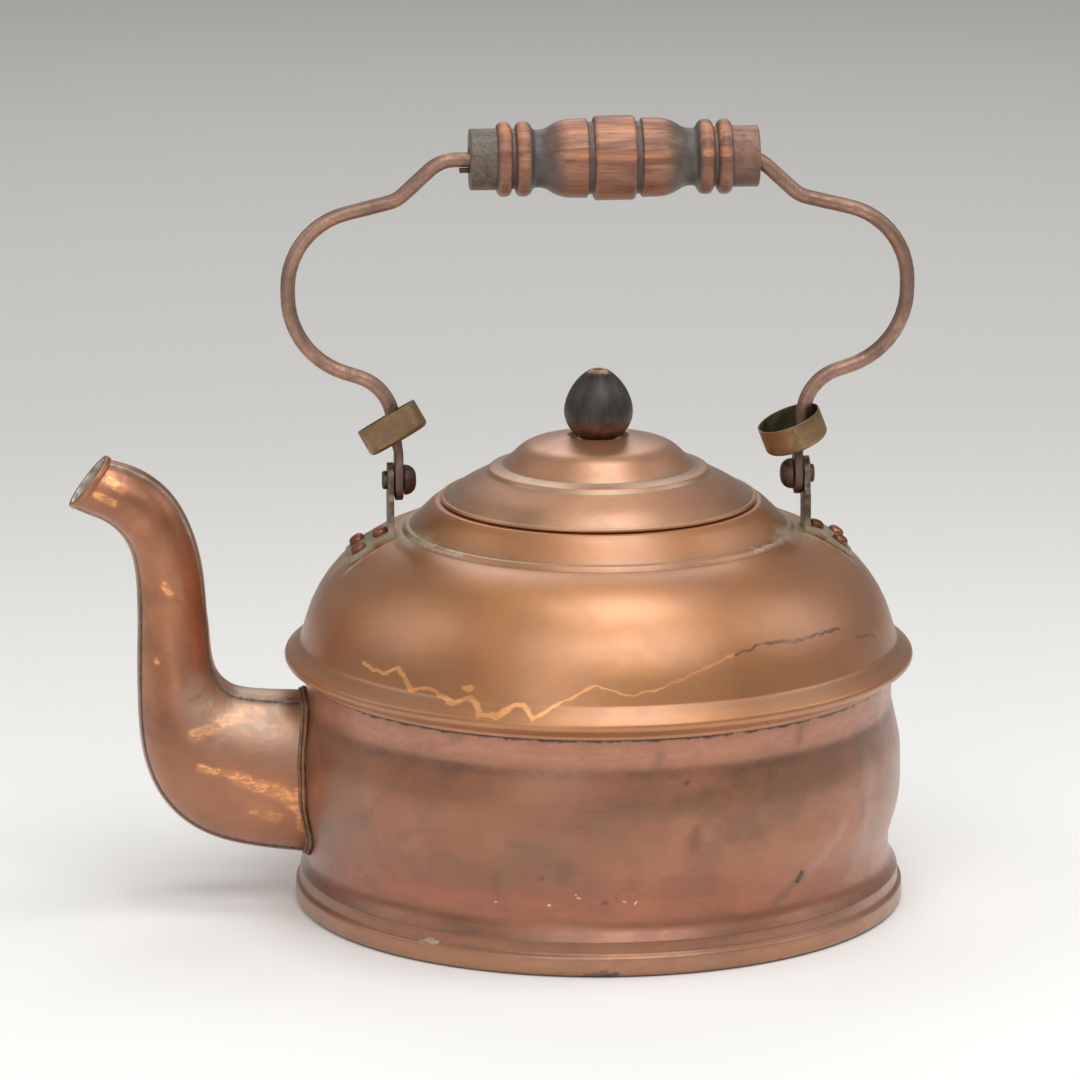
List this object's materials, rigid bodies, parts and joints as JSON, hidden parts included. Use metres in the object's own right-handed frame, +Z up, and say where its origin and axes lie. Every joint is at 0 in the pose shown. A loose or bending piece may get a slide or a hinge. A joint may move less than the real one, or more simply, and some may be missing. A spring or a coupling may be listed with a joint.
{
  "type": "tea kettle",
  "caption": "Copper tea kettle with a swan-neck spout, domed lift-off lid with a dark knob, and a swinging wire bail with a turned wooden grip.",
  "frame": {"origin": "middle of the flat bottom, on the axis of the spun body", "axes": "+Z up along the body's axis, spout towards -X, bail hinged about X"},
  "size_m": [0.3105, 0.232, 0.2924],
  "materials": {
    "copper_wall": "aged satin copper, reddish",
    "copper_dome": "aged satin copper, warm brown",
    "copper_spout": "aged satin copper, rubbed bright in places",
    "copper_lid": "aged satin copper, warm brown",
    "tinned_bracket": "dull tinned metal with pale deposit",
    "rivet_copper": "worn copper",
    "rod_copper": "brown satin copper",
    "grip_wood": "worn varnish, dark burnt grooves",
    "wedge_wood": "bare, dark",
    "cup_brass": "dull olive brass, verdigris inside",
    "knob_wood": "ebonised, worn tip",
    "fixing_steel": "dull steel"
  },
  "bodies": {
    "kettle": {"body_wall": "copper_wall", "base_plate": "copper_wall", "shoulder_dome": "copper_dome", "spout_front_half": "copper_spout", "spout_rear_half": "copper_spout", "spout_collar": "copper_spout", "spout_lip": "copper_spout", "bail_bracket_left": "tinned_bracket", "bail_bracket_right": "tinned_bracket", "bracket_rivets_left": "rivet_copper", "bracket_rivets_right": "rivet_copper", "hinge_rivet_left": "rivet_copper", "hinge_rivet_right": "rivet_copper"},
    "bail": {"bail_rod": "rod_copper"},
    "grip": {"grip": "grip_wood", "grip_wedge": "wedge_wood"},
    "cup_left": {"grip_cap_left": "cup_brass"},
    "cup_right": {"grip_cap_right": "cup_brass"},
    "lid": {"lid_shell": "copper_lid", "lid_flange": "copper_lid", "lid_knob": "knob_wood", "knob_screw": "fixing_steel", "knob_washer": "fixing_steel"}
  },
  "joints": [
    {"name": "bail_swing", "type": "hinge", "parent": "kettle", "child": "bail", "pos_m": [0, 0, 0.15845], "axis": [1, 0, 0], "range_deg": [-90, 90]},
    {"name": "grip_turn", "type": "hinge", "parent": "bail", "child": "grip", "pos_m": [0, 0, 0.277], "axis": [1, 0, 0], "continuous": true},
    {"name": "cup_left_slide", "type": "slide", "parent": "bail", "child": "cup_left", "axis": [-0.0937, 0, 0.9956], "range_m": [0, 0.006]},
    {"name": "cup_right_slide", "type": "slide", "parent": "bail", "child": "cup_right", "axis": [0.0937, 0, 0.9956], "range_m": [0, 0.004]},
    {"name": "lid_lift", "type": "slide", "parent": "kettle", "child": "lid", "axis": [0, 0, 1], "range_m": [0, 0.055]}
  ]
}
